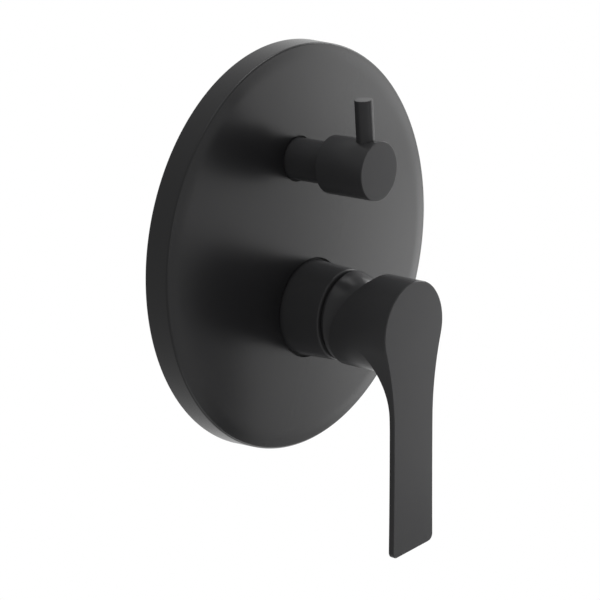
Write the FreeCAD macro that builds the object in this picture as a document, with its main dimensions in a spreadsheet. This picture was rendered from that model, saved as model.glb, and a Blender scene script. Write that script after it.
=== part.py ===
import FreeCAD, Part
import math
import os
import re

import Sketcher
from FreeCAD import Vector

# Concealed single lever shower mixer with a two way diverter. A brass body sits in the wall and
# carries two cartridges. A round cover plate hides the hole in the wall, a lever works the mixing
# cartridge through a domed cap, and a small knob with a pin turns the diverter.
#
# Millimetres. The origin is the middle of the cover plate on the wall's face. +X is to the right
# for somebody who faces the wall, +Y goes into the wall and +Z is up. Every piece is drawn in the
# same working frame: across is to the right, up is up, and depth is counted from the wall's face
# towards the room, so that what lies inside the wall has a negative depth.

# Driving dimensions, in millimetres and degrees
SIZES = {
    # Cover plate: a deep drawn disc with a drafted rim and a face that falls a little at its edge
    "plate_radius": 90.0,
    "plate_depth": 11.7,
    "plate_wall": 1.6,
    "plate_rim_draft": 0.6,
    "plate_edge_round": 0.8,
    "plate_face_fall": 0.5,
    "plate_fall_width": 12.0,
    "collar_wall": 1.5,
    "collar_back": 5.0,
    "rim_seal_width": 4.0,
    "rim_seal_thickness": 3.0,
    "rim_seal_clearance": 0.4,
    "gasket_clearance": 0.1,
    "gasket_recess": 0.6,
    "gasket_back": 6.0,
    # The two axes stand above each other on the plate's upright diameter
    "main_axis_drop": 27.8,
    "diverter_axis_rise": 41.0,
    "lever_rest_turn": 6.6,
    "knob_rest_turn": 2.1,
    # Mixer sleeve, in front of the plate, drawn in slightly towards its front rim
    "main_hole_radius": 22.5,
    "main_sleeve_base_radius": 21.2,
    "main_sleeve_rim_radius": 20.15,
    "main_sleeve_bore": 18.9,
    "main_sleeve_back": 5.5,
    "main_sleeve_front": 31.2,
    "sleeve_lip_bore": 17.9,
    "sleeve_lip_thickness": 1.4,
    "sleeve_straight": 1.5,
    "sleeve_bevel": 0.35,
    "ring_back": 15.3,
    "ring_height": 2.0,
    "ring_clearance": 0.06,
    # Domed cap, a ball shell about the point that the lever tilts on
    "pivot_depth": 29.3,
    "dome_radius": 20.6,
    "dome_wall": 1.2,
    "dome_gap": 3.0,
    "dome_skirt_radius": 17.7,
    "dome_skirt_wall": 0.9,
    "dome_skirt_back": 21.0,
    "dome_mouth_radius": 10.4,
    # Lever: a round head, a flare, and a flat paddle with rounded corners
    "head_radius": 21.05,
    "head_front": 67.55,
    "head_back": 36.8,
    "head_back_arc": 50.0,
    "head_back_flat": 13.0,
    "ball_clearance": 0.35,
    "lever_length": 101.0,
    "paddle_half_width": 14.3,
    "paddle_tip_half_width": 14.9,
    "flare_end": 43.0,
    "paddle_corner": 3.2,
    "paddle_thickness": 2.4,
    "neck_arc": 40.0,
    "neck_end": 36.0,
    "lever_edge": 0.4,
    "socket_depth": 62.0,
    "grub_hole_depth": 56.5,
    "grub_radius": 2.4,
    "grub_length": 7.5,
    "grub_clearance": 0.1,
    "grub_key_radius": 1.3,
    "grub_key_depth": 2.5,
    # Mixing cartridge
    "barrel_radius": 16.5,
    "barrel_front": 26.5,
    "cartridge_bore": 15.2,
    "seat_depth": 3.5,
    "seat_gap": 0.3,
    "cartridge_clearance": 0.3,
    "base_thickness": 3.6,
    "base_step": 0.8,
    "cavity_radius": 13.2,
    "cavity_clearance": 0.3,
    "roof_thickness": 2.8,
    "shoulder_depth": 24.0,
    "neck_radius": 10.8,
    "neck_bore": 8.6,
    "neck_front": 32.6,
    "port_radius": 2.9,
    "inlet_spread": 6.4,
    "inlet_drop": 3.4,
    "mixed_rise": 6.4,
    "port_seal_wall": 1.3,
    "port_seal_length": 1.8,
    "port_seal_clearance": 0.1,
    "fixed_disc_thickness": 3.0,
    "moving_disc_radius": 9.4,
    "moving_disc_thickness": 2.8,
    "disc_film": 0.05,
    "disc_start": 2.05,
    "disc_chamber_radius": 6.3,
    "disc_chamber_depth": 1.5,
    "disc_carrier_radius": 9.2,
    "disc_carrier_thickness": 4.2,
    "ball_depth": 17.4,
    "ball_radius": 2.6,
    "ball_play": 0.3,
    "stem_radius": 3.1,
    "stem_waist": 1.9,
    "stem_square": 6.0,
    "stem_square_back": 50.8,
    "socket_play": 0.1,
    "stem_end_gap": 0.5,
    "tilt_range": 20.0,
    "swivel_clearance": 0.08,
    "swivel_flange": 10.6,
    "swivel_flange_thickness": 2.2,
    "swivel_back": 18.7,
    "swivel_reach": 4.1,
    "swivel_slot_play": 0.3,
    "swivel_slot_margin": 0.8,
    "pivot_pin_radius": 1.55,
    "pivot_pin_clearance": 0.05,
    "pivot_pin_end_gap": 0.35,
    "nut_clearance": 0.4,
    "nut_thread_clearance": 0.2,
    "nut_thread_top": 0.4,
    "nut_hex_height": 3.6,
    "nut_hex_flats": 27.0,
    # Diverter sleeve, knob and pin
    "diverter_hole_radius": 10.1,
    "diverter_sleeve_radius": 9.2,
    "diverter_sleeve_wall": 1.6,
    "diverter_sleeve_back": 5.0,
    "knob_radius": 12.6,
    "knob_back": 30.7,
    "knob_front": 54.9,
    "knob_edge": 0.3,
    "knob_recess_play": 0.4,
    "knob_recess_depth": 2.5,
    "sleeve_overlap": 1.6,
    "knob_bore_play": 0.08,
    "knob_bore_end_gap": 0.4,
    "handle_pin_radius": 3.88,
    "handle_pin_depth": 48.5,
    "handle_pin_top": 30.0,
    "handle_pin_foot": 6.5,
    "handle_pin_play": 0.03,
    "handle_pin_bevel": 0.25,
    "knob_screw_radius": 2.0,
    "knob_screw_depth": 38.0,
    "knob_screw_length": 6.0,
    "knob_screw_play": 0.08,
    # Diverter cartridge
    "headwork_radius": 10.0,
    "headwork_clearance": 0.2,
    "headwork_neck": 7.25,
    "headwork_front": 24.0,
    "headwork_shoulder": -3.6,
    "headwork_back": -19.0,
    "headwork_wall": 1.0,
    "headwork_roof": 1.5,
    "spindle_radius": 3.5,
    "spindle_clearance": 0.08,
    "spindle_front": 44.0,
    "spindle_flange": 8.4,
    "spindle_flange_thickness": 2.8,
    "spindle_flange_gap": 0.3,
    "spindle_seal_depth": 18.0,
    "spindle_seal_half": 0.5,
    "circlip_thickness": 0.8,
    "circlip_gap": 0.3,
    "circlip_radius": 5.2,
    "circlip_groove": 0.6,
    "circlip_play": 0.1,
    "circlip_opening": 3.2,
    "diverter_disc_radius": 8.5,
    "diverter_disc_thickness": 2.9,
    "diverter_port_radius": 2.4,
    "diverter_port_ring": 4.6,
    "headwork_window_radius": 2.4,
    "ring_nut_thread_play": 0.1,
    "ring_nut_bore_play": 0.3,
    "ring_nut_flats": 21.0,
    "ring_nut_height": 4.0,
    # Brass body in the wall
    "body_back": 34.0,
    "body_barrel_radius": 20.0,
    "body_barrel_front": 2.0,
    "body_foot_round": 2.0,
    "diverter_barrel_wall": 2.4,
    "diverter_barrel_back": 32.5,
    "diverter_barrel_front": 0.5,
    "web_width": 24.0,
    "web_front": 3.5,
    "waterway_depth": 17.0,
    "inlet_reach": 50.0,
    "outlet_drop": 48.0,
    "outlet_rise": 22.5,
    "port_boss_radius": 13.0,
    "port_thread_radius": 9.32,
    "port_thread_length": 14.0,
    "top_thread_length": 10.0,
    "waterway_radius": 5.5,
    "waterway_wall": 5.0,
    "side_way_drop": 13.75,
    "mixed_way_radius": 3.2,
    "mixed_way_depth": 9.5,
    "outlet_way_radius": 2.5,
    "up_way_depth": 23.5,
    "down_way_depth": 28.0,
    "lug_spacing": 60.0,
    "lug_radius": 6.5,
    "lug_thickness": 5.0,
    "lug_hole_radius": 2.75,
    "lug_rise": 8.0,
}

# Two heights nearer than this, in millimetres, are the same height
TOUCH = 0.01
PARTS = "parts"
os.makedirs(PARTS, exist_ok=True)
doc = FreeCAD.newDocument("shower_diverter_valve")
dims = doc.addObject("Spreadsheet::Sheet", "dims")
for row, (alias, number) in enumerate(SIZES.items(), start=1):
    dims.set(f"A{row}", alias.replace("_", " "))
    dims.set(f"B{row}", str(number))
    dims.setAlias(f"B{row}", alias)
doc.recompute()

# Places that follow from the sizes above
PLACES = {
    "plate_flat_radius": "(plate_radius - plate_rim_draft - plate_edge_round - plate_fall_width)",
    "plate_shoulder": "(plate_depth - plate_face_fall - plate_edge_round)",
    "base_back": "(seat_depth + seat_gap)",
    "base_top": "(seat_depth + seat_gap + base_thickness)",
    "fixed_disc_back": "(seat_depth + seat_gap + base_thickness + base_step)",
    "roof_back": "(shoulder_depth - roof_thickness)",
    "dome_edge": "(main_sleeve_front + dome_gap)",
    "dome_bore": "(dome_skirt_radius - dome_skirt_wall)",
    "swivel_front": "(pivot_depth + swivel_reach)",
    "diverter_sleeve_front": "(knob_back + sleeve_overlap)",
    "headwork_bore": "(spindle_radius + spindle_clearance)",
    "diverter_bore": "(headwork_radius + headwork_clearance)",
    "headwork_cavity": "(headwork_radius - headwork_wall)",
    "headwork_roof_back": "(headwork_shoulder - headwork_roof)",
    "circlip_back": "(headwork_front + circlip_gap)",
}


def cells(text):
    """Turns a formula in plain size names into one that reads the sheet's cells."""
    text = str(text)
    before = ""
    while text != before:
        before = text
        text = re.sub(r"[a-z][a-z_]+", lambda word: PLACES.get(word.group(0), word.group(0)), text)
    return re.sub(
        r"[a-z][a-z_]+",
        lambda word: "dims." + word.group(0) if word.group(0) in SIZES else word.group(0),
        text,
    )


def value(text):
    """The number that a formula gives now."""
    return float(dims.evalExpression(cells(text)))


def new_body(label, height="0", turn="0"):
    """A body whose own Z points into the room, set on an axis of the valve at that height."""
    body = doc.addObject("PartDesign::Body", label)
    body.Label = label
    place = f"create(<<vector>>; 0; 0; {cells(height)})"
    angles = f"create(<<rotation>>; 0; {cells(turn)}; 90)"
    body.setExpression("Placement", f"create(<<placement>>; {place}; {angles})")
    return body


def new_sketch(body, role, offset="0"):
    """An empty sketch on one of the body's own planes, moved along that plane's normal."""
    sketch = body.newObject("Sketcher::SketchObject", body.Label + "_sketch")
    plane = [f for f in body.Origin.OriginFeatures if f.Role == role][0]
    sketch.AttachmentSupport = [(plane, "")]
    sketch.MapMode = "FlatFace"
    if str(offset) != "0":
        sketch.setExpression("AttachmentOffset.Base.z", cells(offset))
    return sketch


def bind(sketch, kind, geometry, point, formula):
    """Ties one coordinate of a sketch point to the sheet. A plain 0 puts it on the axis."""
    if formula == "0":
        axis = -2 if kind == "DistanceX" else -1
        sketch.addConstraint(Sketcher.Constraint("PointOnObject", geometry, point, axis))
        return
    number = sketch.addConstraint(
        Sketcher.Constraint(kind, -1, 1, geometry, point, value(formula))
    )
    sketch.setExpression(f"Constraints[{number}]", cells(formula))


def outline(body, role, steps, offset="0"):
    """Closed outline through corners (a, b). A third entry makes the edge that leaves the corner
    an arc of that radius, and a fourth says whether its centre lies left or right of the way."""
    sketch = new_sketch(body, role, offset)
    corners = [Vector(value(step[0]), value(step[1]), 0) for step in steps]
    count = len(steps)
    ends = []
    for index, step in enumerate(steps):
        start = corners[index]
        finish = corners[(index + 1) % count]
        if len(step) == 2:
            sketch.addGeometry(Part.LineSegment(start, finish), False)
            ends.append((1, 2))
            continue
        radius = value(step[2])
        way = finish - start
        left = Vector(-way.y, way.x, 0).normalize()
        side = 1 if step[3] == "left" else -1
        height = math.sqrt(max(radius**2 - (way.Length / 2) ** 2, 0.0))
        centre = start + way * 0.5 + left * (side * height)
        first, last = (start, finish) if side == 1 else (finish, start)
        circle = Part.Circle(centre, Vector(0, 0, 1), radius)
        begin = math.atan2(first.y - centre.y, first.x - centre.x)
        stop = math.atan2(last.y - centre.y, last.x - centre.x)
        if stop < begin:
            stop += 2 * math.pi
        sketch.addGeometry(Part.ArcOfCircle(circle, begin, stop), False)
        ends.append((1, 2) if side == 1 else (2, 1))
    for index in range(count):
        following = (index + 1) % count
        sketch.addConstraint(
            Sketcher.Constraint("Coincident", index, ends[index][1], following, ends[following][0])
        )
    for index, step in enumerate(steps):
        bind(sketch, "DistanceX", index, ends[index][0], step[0])
        bind(sketch, "DistanceY", index, ends[index][0], step[1])
        if len(step) == 4:
            number = sketch.addConstraint(Sketcher.Constraint("Radius", index, value(step[2])))
            sketch.setExpression(f"Constraints[{number}]", cells(step[2]))
    return sketch


def circles(body, role, rounds, offset="0"):
    """Sketch of full circles, each given as (a, b, radius)."""
    sketch = new_sketch(body, role, offset)
    for index, (a, b, radius) in enumerate(rounds):
        centre = Vector(value(a), value(b), 0)
        sketch.addGeometry(Part.Circle(centre, Vector(0, 0, 1), value(radius)), False)
        bind(sketch, "DistanceX", index, 3, a)
        bind(sketch, "DistanceY", index, 3, b)
        number = sketch.addConstraint(Sketcher.Constraint("Radius", index, value(radius)))
        sketch.setExpression(f"Constraints[{number}]", cells(radius))
    return sketch


def box_outline(left, right, low, high):
    """Corners of a rectangle, anticlockwise."""
    return [(left, low), (right, low), (right, high), (left, high)]


def hexagon(flats):
    """Corners of a hexagon about the axis, from its width across flats."""
    half = f"({flats}) / 2"
    corner = f"({flats}) / sqrt(3)"
    return [
        (corner, "0"),
        (f"{corner} / 2", half),
        (f"-{corner} / 2", half),
        (f"-{corner}", "0"),
        (f"-{corner} / 2", f"-{half}"),
        (f"{corner} / 2", f"-{half}"),
    ]


def add(body, kind, sketch, length=None, reverse=False):
    """Adds a feature made from a sketch and checks which way the volume went."""
    before = body.Shape.Volume if body.Tip else 0.0
    feature = body.newObject("PartDesign::" + kind, body.Label + "_" + kind.lower())
    feature.Profile = sketch
    if kind in ("Revolution", "Groove"):
        feature.ReferenceAxis = (sketch, ["V_Axis"])
        feature.Angle = 360.0
    else:
        feature.setExpression("Length", cells(length))
        feature.Reversed = reverse
    sketch.Visibility = False
    doc.recompute()
    after = body.Shape.Volume
    grows = kind in ("Revolution", "Pad")
    if (after <= before) if grows else (after >= before):
        raise ValueError(f"{body.Label}: {kind} changed the volume from {before} to {after}")
    return feature


def turned(label, steps, height="0", turn="0"):
    """A piece turned about its own axis from a half section of (radius, depth) corners."""
    body = new_body(label, height, turn)
    add(body, "Revolution", outline(body, "XZ_Plane", steps))
    return body


def washer_section(inner, outer, back, front):
    """Half section of a plain ring."""
    return [(inner, back), (outer, back), (outer, front), (inner, front)]


def bevel_edges(body, kind, amount, wanted):
    """Breaks the edges that the test picks, by a fillet or a chamfer of a named size."""
    base = body.Tip
    picked = []
    for index, edge in enumerate(base.Shape.Edges):
        if wanted(edge):
            picked.append(f"Edge{index + 1}")
    if not picked:
        raise ValueError(f"{body.Label}: no edge to break")
    feature = body.newObject("PartDesign::" + kind, body.Label + "_" + kind.lower())
    feature.Base = (base, picked)
    feature.setExpression("Radius" if kind == "Fillet" else "Size", cells(amount))
    doc.recompute()
    return feature


def lies_at(edge, depth):
    """Whether a whole edge lies at one depth of the piece's own frame."""
    box = edge.BoundBox
    return abs(box.ZMin - depth) < TOUCH and abs(box.ZMax - depth) < TOUCH


MAIN = "-main_axis_drop"
UPPER = "diverter_axis_rise"


# Cover plate: a drawn shell, with a collar turned inwards round each of its two holes
edge_radius = "plate_radius - plate_rim_draft - plate_edge_round"
fall_arc = "(plate_fall_width^2 + plate_face_fall^2) / (2 * plate_face_fall)"
inner_rim = "plate_radius - plate_rim_draft - plate_wall"
cover_plate = turned(
    "cover_plate",
    [
        ("0", "plate_depth"),
        ("plate_flat_radius", "plate_depth", fall_arc, "right"),
        (edge_radius, "plate_depth - plate_face_fall", "plate_edge_round", "right"),
        ("plate_radius - plate_rim_draft", "plate_shoulder"),
        ("plate_radius", "0"),
        ("plate_radius - plate_wall", "0"),
        (inner_rim, "plate_depth - plate_face_fall - plate_wall"),
        ("plate_flat_radius", "plate_depth - plate_wall"),
        ("0", "plate_depth - plate_wall"),
    ],
)
collars = [
    ("0", MAIN, "main_hole_radius + collar_wall"),
    ("0", UPPER, "diverter_hole_radius + collar_wall"),
]
add(
    cover_plate,
    "Pad",
    circles(cover_plate, "XY_Plane", collars, "collar_back"),
    "plate_depth - plate_wall / 2 - collar_back",
)
holes = [("0", MAIN, "main_hole_radius"), ("0", UPPER, "diverter_hole_radius")]
add(
    cover_plate,
    "Pocket",
    circles(cover_plate, "XY_Plane", holes, "plate_depth + plate_wall"),
    "plate_depth + plate_wall",
)

# Soft seal between the plate's rim and the wall
turned(
    "plate_rim_seal",
    washer_section(
        "plate_radius - plate_wall - rim_seal_clearance - rim_seal_width",
        "plate_radius - plate_wall - rim_seal_clearance",
        "0",
        "rim_seal_thickness",
    ),
)

# Rubber gaskets that fill the plate's holes round the two sleeves
turned(
    "plate_main_gasket",
    washer_section(
        "main_sleeve_base_radius + gasket_clearance",
        "main_hole_radius - gasket_clearance",
        "gasket_back",
        "plate_depth - gasket_recess",
    ),
    MAIN,
)
turned(
    "plate_diverter_gasket",
    washer_section(
        "diverter_sleeve_radius + gasket_clearance",
        "diverter_hole_radius - gasket_clearance",
        "gasket_back",
        "plate_depth - gasket_recess",
    ),
    UPPER,
)

# Mixer sleeve: straight in the plate's hole, then drawn in to its bevelled front rim, where a
# lip turned inwards closes it down to the cap
turned(
    "main_sleeve",
    [
        ("main_sleeve_bore", "main_sleeve_back"),
        ("main_sleeve_base_radius", "main_sleeve_back"),
        ("main_sleeve_base_radius", "plate_depth + sleeve_straight"),
        ("main_sleeve_rim_radius", "main_sleeve_front - sleeve_bevel"),
        ("main_sleeve_rim_radius - sleeve_bevel", "main_sleeve_front"),
        ("sleeve_lip_bore", "main_sleeve_front"),
        ("sleeve_lip_bore", "main_sleeve_front - sleeve_lip_thickness"),
        ("main_sleeve_bore", "main_sleeve_front - sleeve_lip_thickness"),
    ],
    MAIN,
)

# Square cut rubber ring between the body's barrel and the sleeve, which it holds by friction
turned(
    "main_sleeve_ring",
    washer_section(
        "barrel_radius + ring_clearance",
        "main_sleeve_bore - ring_clearance",
        "ring_back",
        "ring_back + ring_height",
    ),
    MAIN,
)

# Domed cap: a skirt over the barrel, a shadow groove, and a ball shell open for the stem
dome_inner = "(dome_radius - dome_wall)"
turned(
    "dome_cap",
    [
        ("dome_skirt_radius", "dome_skirt_back"),
        ("dome_skirt_radius", "dome_edge"),
        (
            "sqrt(dome_radius^2 - (dome_edge - pivot_depth)^2)",
            "dome_edge",
            "dome_radius",
            "left",
        ),
        ("dome_mouth_radius", "pivot_depth + sqrt(dome_radius^2 - dome_mouth_radius^2)"),
        (
            "dome_mouth_radius",
            f"pivot_depth + sqrt({dome_inner}^2 - dome_mouth_radius^2)",
            dome_inner,
            "right",
        ),
        ("dome_bore", f"pivot_depth + sqrt({dome_inner}^2 - dome_bore^2)"),
        ("dome_bore", "dome_skirt_back"),
    ],
    MAIN,
)

# Lever. Its own frame is turned with it, so that the paddle hangs straight down in it.
lever = new_body("lever_handle", MAIN, "lever_rest_turn")
paddle_back = "(head_front - paddle_thickness)"
block_back = "(pivot_depth + dome_radius)"
# The flare is an arc that touches the head's circle and the paddle's straight side
flare_arc = "((flare_end^2 + paddle_half_width^2 - head_radius^2) / (2 * (head_radius - paddle_half_width)))"
flare_touch = f"(head_radius / (head_radius + {flare_arc}))"
touch_side = f"{flare_touch} * (paddle_half_width + {flare_arc})"
touch_drop = f"{flare_touch} * flare_end"
tip_side = "paddle_tip_half_width"
# The paddle's sides open a little towards the tip, in a long arc that goes on from the flare
tip_wider = f"({tip_side} - paddle_half_width)"
side_arc = f"(({tip_wider}^2 + (lever_length - flare_end)^2) / (2 * {tip_wider}))"
add(
    lever,
    "Pad",
    outline(
        lever,
        "XY_Plane",
        [
            (f"-{tip_side}", "-lever_length"),
            (tip_side, "-lever_length", side_arc, "right"),
            ("paddle_half_width", "-flare_end", flare_arc, "right"),
            (touch_side, f"-{touch_drop}", "head_radius", "left"),
            ("0", "head_radius", "head_radius", "left"),
            (f"-{touch_side}", f"-{touch_drop}", flare_arc, "right"),
            ("-paddle_half_width", "-flare_end", side_arc, "right"),
        ],
        block_back,
    ),
    f"head_front - {block_back}",
)
bevel_edges(
    lever,
    "Fillet",
    "paddle_corner",
    lambda edge: abs(edge.BoundBox.YMax + value("lever_length")) < TOUCH
    and edge.BoundBox.ZLength > TOUCH,
)
bevel_edges(lever, "Chamfer", "lever_edge", lambda edge: lies_at(edge, value("head_front")))
# Behind the paddle the metal is hollowed by a long arc that ends in the paddle's flat back
neck_low = "(lever_length + paddle_corner)"
neck_start = f"(neck_end - sqrt(neck_arc^2 - ({block_back} - {paddle_back} + neck_arc)^2))"
add(
    lever,
    "Pocket",
    outline(
        lever,
        "YZ_Plane",
        [
            (f"-{neck_low}", "head_back"),
            (f"-{neck_start}", "head_back"),
            (f"-{neck_start}", block_back, "neck_arc", "left"),
            ("-neck_end", paddle_back),
            (f"-{neck_low}", paddle_back),
        ],
        "-2 * head_radius",
    ),
    "4 * head_radius",
    True,
)
# The round head reaches back over the dome
add(
    lever,
    "Pad",
    circles(lever, "XY_Plane", [("0", "0", "head_radius")], "head_back"),
    "head_front - 2 * lever_edge - head_back",
)
# Its rear rim is cut back in an arc towards the top, so that the lever can tilt up
rim_reach = "(head_radius + head_back_flat)"
add(
    lever,
    "Pocket",
    outline(
        lever,
        "YZ_Plane",
        [
            ("-head_back_flat", "head_back", "head_back_arc", "left"),
            (
                "head_radius",
                f"head_back + head_back_arc - sqrt(head_back_arc^2 - {rim_reach}^2)",
            ),
            ("2 * head_radius", f"head_back + {rim_reach}"),
            ("2 * head_radius", "head_back - head_back_flat"),
            ("-head_back_flat", "head_back - head_back_flat"),
        ],
        "-2 * head_radius",
    ),
    "4 * head_radius",
    True,
)
# A hollow ball in the head runs over the dome
hollow = "(dome_radius + ball_clearance)"
add(
    lever,
    "Groove",
    outline(
        lever,
        "XZ_Plane",
        [
            ("0", f"pivot_depth - {hollow}", hollow, "left"),
            (hollow, "pivot_depth", hollow, "left"),
            ("0", f"pivot_depth + {hollow}"),
        ],
    ),
)
# Square socket for the stem, and the threaded hole of the screw that clamps it
half_socket = "(stem_square / 2 + socket_play)"
add(
    lever,
    "Pocket",
    outline(
        lever,
        "XY_Plane",
        box_outline(f"-{half_socket}", half_socket, f"-{half_socket}", half_socket),
        "pivot_depth",
    ),
    "socket_depth - pivot_depth",
    True,
)
add(
    lever,
    "Pocket",
    circles(lever, "XZ_Plane", [("0", "grub_hole_depth", "grub_radius + grub_clearance")]),
    "head_radius + paddle_corner",
    True,
)


def grub_screw(label, height, turn, radius, depth, foot, length):
    """Headless screw that lies along the piece's upright, with a round key hole at its outer end."""
    screw = new_body(label, height, turn)
    shank = circles(screw, "XZ_Plane", [("0", depth, radius)], foot)
    add(screw, "Pad", shank, length)
    key = circles(screw, "XZ_Plane", [("0", depth, "grub_key_radius")], f"{foot} + {length}")
    add(screw, "Pocket", key, "grub_key_depth")
    return screw


grub_screw(
    "lever_grub_screw",
    MAIN,
    "lever_rest_turn",
    "grub_radius",
    "grub_hole_depth",
    "stem_square / 2 + socket_play",
    "grub_length",
)

# Lever stem: a ball end that drives the disc, a round shank on the pivot and a square end
stem = turned(
    "lever_stem",
    [
        ("0", "ball_depth - ball_radius", "ball_radius", "left"),
        ("ball_radius", "ball_depth", "ball_radius", "left"),
        ("stem_waist", "ball_depth + sqrt(ball_radius^2 - stem_waist^2)"),
        ("stem_waist", "swivel_back + swivel_slot_margin"),
        ("stem_radius", "swivel_back + swivel_flange_thickness + swivel_slot_margin"),
        ("stem_radius", "stem_square_back"),
        ("0", "stem_square_back"),
    ],
    MAIN,
    "lever_rest_turn",
)
half_square = "stem_square / 2"
add(
    stem,
    "Pad",
    outline(
        stem,
        "XY_Plane",
        box_outline(f"-{half_square}", half_square, f"-{half_square}", half_square),
        "stem_square_back",
    ),
    "socket_depth - stem_end_gap - stem_square_back",
)
add(
    stem,
    "Pocket",
    circles(
        stem,
        "YZ_Plane",
        [("0", "pivot_depth", "pivot_pin_radius + 2 * pivot_pin_clearance")],
        "-2 * stem_radius",
    ),
    "4 * stem_radius",
    True,
)

# Swivel that the stem tilts in: it turns in the cartridge's neck and is slotted for the stem
swivel_radius = "(neck_bore - swivel_clearance)"
swivel = turned(
    "stem_swivel",
    [
        ("0", "swivel_back"),
        ("swivel_flange", "swivel_back"),
        ("swivel_flange", "swivel_back + swivel_flange_thickness"),
        (swivel_radius, "swivel_back + swivel_flange_thickness"),
        (swivel_radius, "swivel_front"),
        ("0", "swivel_front"),
    ],
    MAIN,
    "lever_rest_turn",
)
slot_side = "(stem_radius + swivel_slot_play)"
slot_up = "((swivel_front - pivot_depth) * tan(tilt_range * 1deg) + stem_radius + swivel_slot_margin)"
slot_down = "((pivot_depth - swivel_back) * tan(tilt_range * 1deg) + stem_radius)"
add(
    swivel,
    "Pocket",
    outline(
        swivel,
        "XY_Plane",
        box_outline(f"-{slot_side}", slot_side, f"-{slot_down}", slot_up),
        "swivel_front",
    ),
    "swivel_front - swivel_back",
)
add(
    swivel,
    "Pocket",
    circles(
        swivel,
        "YZ_Plane",
        [("0", "pivot_depth", "pivot_pin_radius + pivot_pin_clearance")],
        "-neck_bore",
    ),
    "2 * neck_bore",
    True,
)

# Pin across the swivel that the stem tilts on
pivot_pin = new_body("stem_pivot_pin", MAIN, "lever_rest_turn")
pin_half = "(neck_bore - pivot_pin_end_gap)"
add(
    pivot_pin,
    "Pad",
    circles(
        pivot_pin, "YZ_Plane", [("0", "pivot_depth", "pivot_pin_radius")], f"-{pin_half}"
    ),
    f"2 * {pin_half}",
)

# Driver that the stem's ball moves, and the ceramic disc under it
moving_back = "(fixed_disc_back + fixed_disc_thickness + disc_film)"
carrier_back = f"({moving_back} + moving_disc_thickness)"
carrier = new_body("disc_carrier", MAIN, "lever_rest_turn")
carrier_round = [("0", "disc_start", "disc_carrier_radius")]
add(
    carrier,
    "Pad",
    circles(carrier, "XY_Plane", carrier_round, carrier_back),
    "disc_carrier_thickness",
)
half_ball = "(ball_radius + ball_play)"
carrier_front = f"{carrier_back} + disc_carrier_thickness"
add(
    carrier,
    "Pocket",
    outline(
        carrier,
        "XY_Plane",
        box_outline(f"-{half_ball}", half_ball, f"-{half_ball}", half_ball),
        carrier_front,
    ),
    f"{carrier_front} - ball_depth + ball_radius + ball_play",
)
moving_disc = new_body("cartridge_moving_disc", MAIN, "lever_rest_turn")
disc_round = [("0", "disc_start", "moving_disc_radius")]
add(
    moving_disc,
    "Pad",
    circles(moving_disc, "XY_Plane", disc_round, moving_back),
    "moving_disc_thickness",
)
chamber_round = [("0", "disc_start", "disc_chamber_radius")]
add(
    moving_disc,
    "Pocket",
    circles(moving_disc, "XY_Plane", chamber_round, moving_back),
    "disc_chamber_depth",
    True,
)

# Fixed ceramic disc and cartridge base, with two inlets and one outlet through both
water_ports = [
    ("-inlet_spread", "-inlet_drop", "port_radius"),
    ("inlet_spread", "-inlet_drop", "port_radius"),
    ("0", "mixed_rise", "port_radius"),
]
disc_radius = "(cavity_radius - cavity_clearance)"
fixed_disc = turned(
    "cartridge_fixed_disc",
    [
        ("0", "fixed_disc_back"),
        (disc_radius, "fixed_disc_back"),
        (disc_radius, "fixed_disc_back + fixed_disc_thickness"),
        ("0", "fixed_disc_back + fixed_disc_thickness"),
    ],
    MAIN,
)
fixed_ports = circles(
    fixed_disc, "XY_Plane", water_ports, "fixed_disc_back + fixed_disc_thickness"
)
add(fixed_disc, "Pocket", fixed_ports, "fixed_disc_thickness")

cartridge_radius = "(cartridge_bore - cartridge_clearance)"
base = turned(
    "cartridge_base",
    [
        ("0", "base_back"),
        (cartridge_radius, "base_back"),
        (cartridge_radius, "base_top"),
        (disc_radius, "base_top"),
        (disc_radius, "fixed_disc_back"),
        ("0", "fixed_disc_back"),
    ],
    MAIN,
)
add(
    base,
    "Pocket",
    circles(base, "XY_Plane", water_ports, "fixed_disc_back"),
    "fixed_disc_back - base_back",
)
seal_outer = "port_radius + port_seal_wall"
seat_rounds = [(a, b, seal_outer + " + port_seal_clearance") for a, b, _ in water_ports]
add(
    base,
    "Pocket",
    circles(base, "XY_Plane", seat_rounds, "base_back"),
    "port_seal_length - seat_gap",
    True,
)

# Three rubber tubes seal the ports on the body's seat
port_seals = new_body("cartridge_port_seals", MAIN)
seal_rounds = [(a, b, seal_outer) for a, b, _ in water_ports]
seal_sketch = circles(port_seals, "XY_Plane", seal_rounds + water_ports, "seat_depth")
add(port_seals, "Pad", seal_sketch, "port_seal_length")

# Cartridge housing: a wide skirt over the discs and a narrow neck that guides the swivel
turned(
    "cartridge_housing",
    [
        (cartridge_radius, "base_top"),
        (cartridge_radius, "shoulder_depth"),
        ("neck_radius", "shoulder_depth"),
        ("neck_radius", "neck_front"),
        ("neck_bore", "neck_front"),
        ("neck_bore", "roof_back"),
        ("cavity_radius", "roof_back"),
        ("cavity_radius", "base_top"),
    ],
    MAIN,
)

# Hexagon nut that presses the cartridge on its seat
nut_bore = "(neck_radius + nut_clearance)"
nut_top = "(barrel_front + nut_thread_top)"
nut = turned(
    "cartridge_nut",
    washer_section(
        nut_bore, "cartridge_bore - nut_thread_clearance", "shoulder_depth", nut_top
    ),
    MAIN,
)
add(
    nut,
    "Pad",
    outline(nut, "XY_Plane", hexagon("nut_hex_flats"), nut_top),
    "nut_hex_height",
)
add(
    nut,
    "Pocket",
    circles(nut, "XY_Plane", [("0", "0", nut_bore)], f"{nut_top} + nut_hex_height"),
    "nut_hex_height",
)

# Diverter sleeve, whose front end hides in the knob
diverter_sleeve_bore = "(diverter_sleeve_radius - diverter_sleeve_wall)"
turned(
    "diverter_sleeve",
    washer_section(
        diverter_sleeve_bore,
        "diverter_sleeve_radius",
        "diverter_sleeve_back",
        "diverter_sleeve_front",
    ),
    UPPER,
)

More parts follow.
